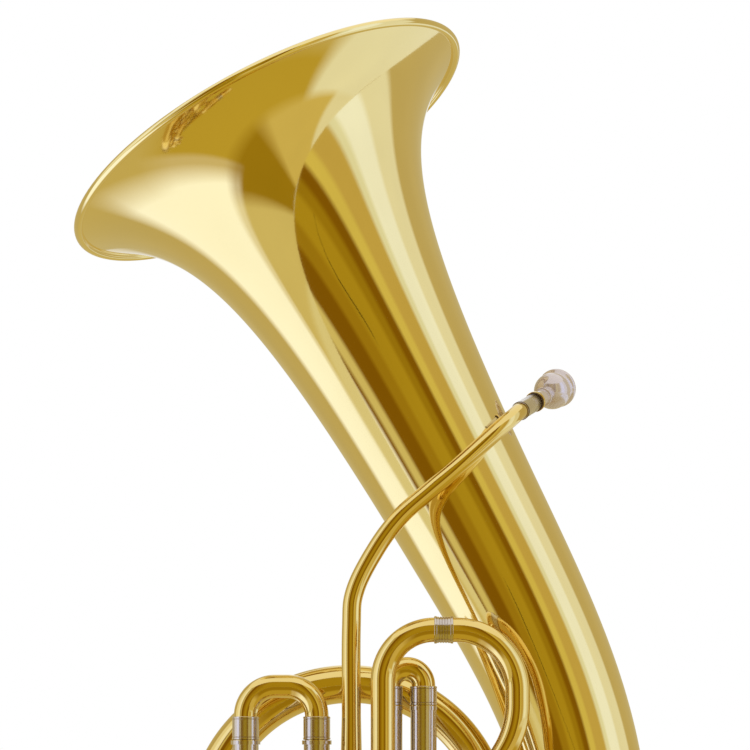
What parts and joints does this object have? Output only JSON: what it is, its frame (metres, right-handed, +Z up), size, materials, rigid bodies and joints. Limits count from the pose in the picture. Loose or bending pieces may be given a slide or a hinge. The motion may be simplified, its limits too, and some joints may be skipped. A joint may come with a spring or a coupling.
{
  "type": "wagner tuba",
  "caption": "Tenor Wagner tuba with a slanting bell, rotary valves worked by finger levers at the back, pull-out tuning slides and a removable mouthpiece.",
  "frame": {"origin": "lowest point of the bottom bow, where the instrument rests on the lap", "axes": "+X from the left branch to the bell stem, +Y from the valve caps to the levers and the player, +Z up, towards the bell"},
  "size_m": [0.3196, 0.2691, 0.7663],
  "materials": {
    "brass": "polished, clear lacquer",
    "nickel": "polished nickel silver",
    "silver": "silver plate",
    "steel": "fine ground",
    "cork": "cut cork"
  },
  "bodies": {
    "root": {"bell_flare": "brass", "bell_rim": "brass", "bell_stem": "brass", "bottom_bow": "brass", "bow_guard": "brass", "left_branch": "brass", "top_bow": "brass", "inner_branch": "brass", "exit_bow": "brass", "branch_ferrules": "nickel", "leadpipe": "brass", "lead_bow": "brass", "receiver": "nickel", "main_slide_sleeves": "nickel", "valve_entry": "brass", "valve_knuckles": "brass", "valve_casing_1": "brass", "valve_casing_2": "brass", "valve_casing_3": "brass", "valve_casing_4": "brass", "front_bearings": "brass", "valve_caps": "brass", "stop_plates": "brass", "bumpers": "cork", "hinge_rod": "steel", "hinge_posts": "brass", "lever_springs": "steel", "first_slide_sleeves": "nickel", "second_slide_sleeves": "nickel", "third_slide_sleeves": "nickel", "fourth_slide_sleeves": "nickel", "fourth_valve_loop": "brass", "loop_ferrule": "nickel", "water_key_saddle": "brass", "braces": "brass", "finger_hook": "brass"},
    "mouthpiece": {"mouthpiece": "silver"},
    "main_slide": {"main_slide": "brass"},
    "first_slide": {"first_slide": "brass"},
    "second_slide": {"second_slide": "brass"},
    "third_slide": {"third_slide": "brass"},
    "fourth_slide": {"fourth_slide": "brass"},
    "lever_1": {"lever_1": "brass"},
    "link_1": {"link_1": "steel"},
    "rotor_1": {"rotor_1": "brass", "stop_arm_1": "brass"},
    "lever_2": {"lever_2": "brass"},
    "link_2": {"link_2": "steel"},
    "rotor_2": {"rotor_2": "brass", "stop_arm_2": "brass"},
    "lever_3": {"lever_3": "brass"},
    "link_3": {"link_3": "steel"},
    "rotor_3": {"rotor_3": "brass", "stop_arm_3": "brass"},
    "lever_4": {"lever_4": "brass"},
    "link_4": {"link_4": "steel"},
    "rotor_4": {"rotor_4": "brass", "stop_arm_4": "brass"},
    "water_key": {"water_key": "brass", "water_key_cork": "cork"}
  },
  "joints": [
    {"name": "mouthpiece_pull", "type": "slide", "parent": "root", "child": "mouthpiece", "axis": [0.3234, 0.9113, 0.2548], "range_m": [0, 0.04]},
    {"name": "main_slide_pull", "type": "slide", "parent": "root", "child": "main_slide", "axis": [0, 0, 1], "range_m": [0, 0.025]},
    {"name": "first_slide_pull", "type": "slide", "parent": "root", "child": "first_slide", "axis": [0, 0, 1], "range_m": [0, 0.06]},
    {"name": "second_slide_pull", "type": "slide", "parent": "root", "child": "second_slide", "axis": [0, 0, 1], "range_m": [0, 0.016]},
    {"name": "third_slide_pull", "type": "slide", "parent": "root", "child": "third_slide", "axis": [0, 0, -1], "range_m": [0, 0.06]},
    {"name": "fourth_slide_pull", "type": "slide", "parent": "root", "child": "fourth_slide", "axis": [0, 0, -1], "range_m": [0, 0.05]},
    {"name": "lever_1_press", "type": "hinge", "parent": "root", "child": "lever_1", "pos_m": [0.012, 0.0191, 0.148], "axis": [-1, 0, 0], "range_deg": [0, 20], "stiffness_Nm_per_rad": 0.1, "springref_deg": -28.65},
    {"name": "link_1_swing", "type": "hinge", "parent": "lever_1", "child": "link_1", "pos_m": [0.0082, -0.005, 0.1438], "axis": [-1, 0, 0], "range_deg": [-20, 0]},
    {"name": "rotor_1_turn", "type": "hinge", "parent": "root", "child": "rotor_1", "pos_m": [0.004, -0.026, 0.2], "axis": [0, -1, 0], "range_deg": [0, 90]},
    {"name": "lever_2_press", "type": "hinge", "parent": "root", "child": "lever_2", "pos_m": [-0.027, 0.0191, 0.148], "axis": [-1, 0, 0], "range_deg": [0, 20], "stiffness_Nm_per_rad": 0.1, "springref_deg": -28.65},
    {"name": "link_2_swing", "type": "hinge", "parent": "lever_2", "child": "link_2", "pos_m": [-0.0308, -0.005, 0.1438], "axis": [-1, 0, 0], "range_deg": [-20, 0]},
    {"name": "rotor_2_turn", "type": "hinge", "parent": "root", "child": "rotor_2", "pos_m": [-0.035, -0.026, 0.2], "axis": [0, -1, 0], "range_deg": [0, 90]},
    {"name": "lever_3_press", "type": "hinge", "parent": "root", "child": "lever_3", "pos_m": [-0.066, 0.0191, 0.148], "axis": [-1, 0, 0], "range_deg": [0, 20], "stiffness_Nm_per_rad": 0.1, "springref_deg": -28.65},
    {"name": "link_3_swing", "type": "hinge", "parent": "lever_3", "child": "link_3", "pos_m": [-0.0698, -0.005, 0.1438], "axis": [-1, 0, 0], "range_deg": [-20, 0]},
    {"name": "rotor_3_turn", "type": "hinge", "parent": "root", "child": "rotor_3", "pos_m": [-0.074, -0.026, 0.2], "axis": [0, -1, 0], "range_deg": [0, 90]},
    {"name": "lever_4_press", "type": "hinge", "parent": "root", "child": "lever_4", "pos_m": [0.051, 0.0191, 0.148], "axis": [-1, 0, 0], "range_deg": [0, 20], "stiffness_Nm_per_rad": 0.1, "springref_deg": -28.65},
    {"name": "link_4_swing", "type": "hinge", "parent": "lever_4", "child": "link_4", "pos_m": [0.0472, -0.005, 0.1438], "axis": [-1, 0, 0], "range_deg": [-20, 0]},
    {"name": "rotor_4_turn", "type": "hinge", "parent": "root", "child": "rotor_4", "pos_m": [0.043, -0.026, 0.2], "axis": [0, -1, 0], "range_deg": [0, 90]},
    {"name": "water_key_press", "type": "hinge", "parent": "root", "child": "water_key", "pos_m": [0.0578, -0.0624, 0.0316], "axis": [-1, 0, 0], "range_deg": [0, 14], "stiffness_Nm_per_rad": 0.02, "springref_deg": -28.65}
  ],
  "couplings": [
    {"joint": "link_1_swing", "follows": "lever_1_press", "ratio": -1},
    {"joint": "rotor_1_turn", "follows": "lever_1_press", "ratio": 4.5},
    {"joint": "link_2_swing", "follows": "lever_2_press", "ratio": -1},
    {"joint": "rotor_2_turn", "follows": "lever_2_press", "ratio": 4.5},
    {"joint": "link_3_swing", "follows": "lever_3_press", "ratio": -1},
    {"joint": "rotor_3_turn", "follows": "lever_3_press", "ratio": 4.5},
    {"joint": "link_4_swing", "follows": "lever_4_press", "ratio": -1},
    {"joint": "rotor_4_turn", "follows": "lever_4_press", "ratio": 4.5}
  ]
}
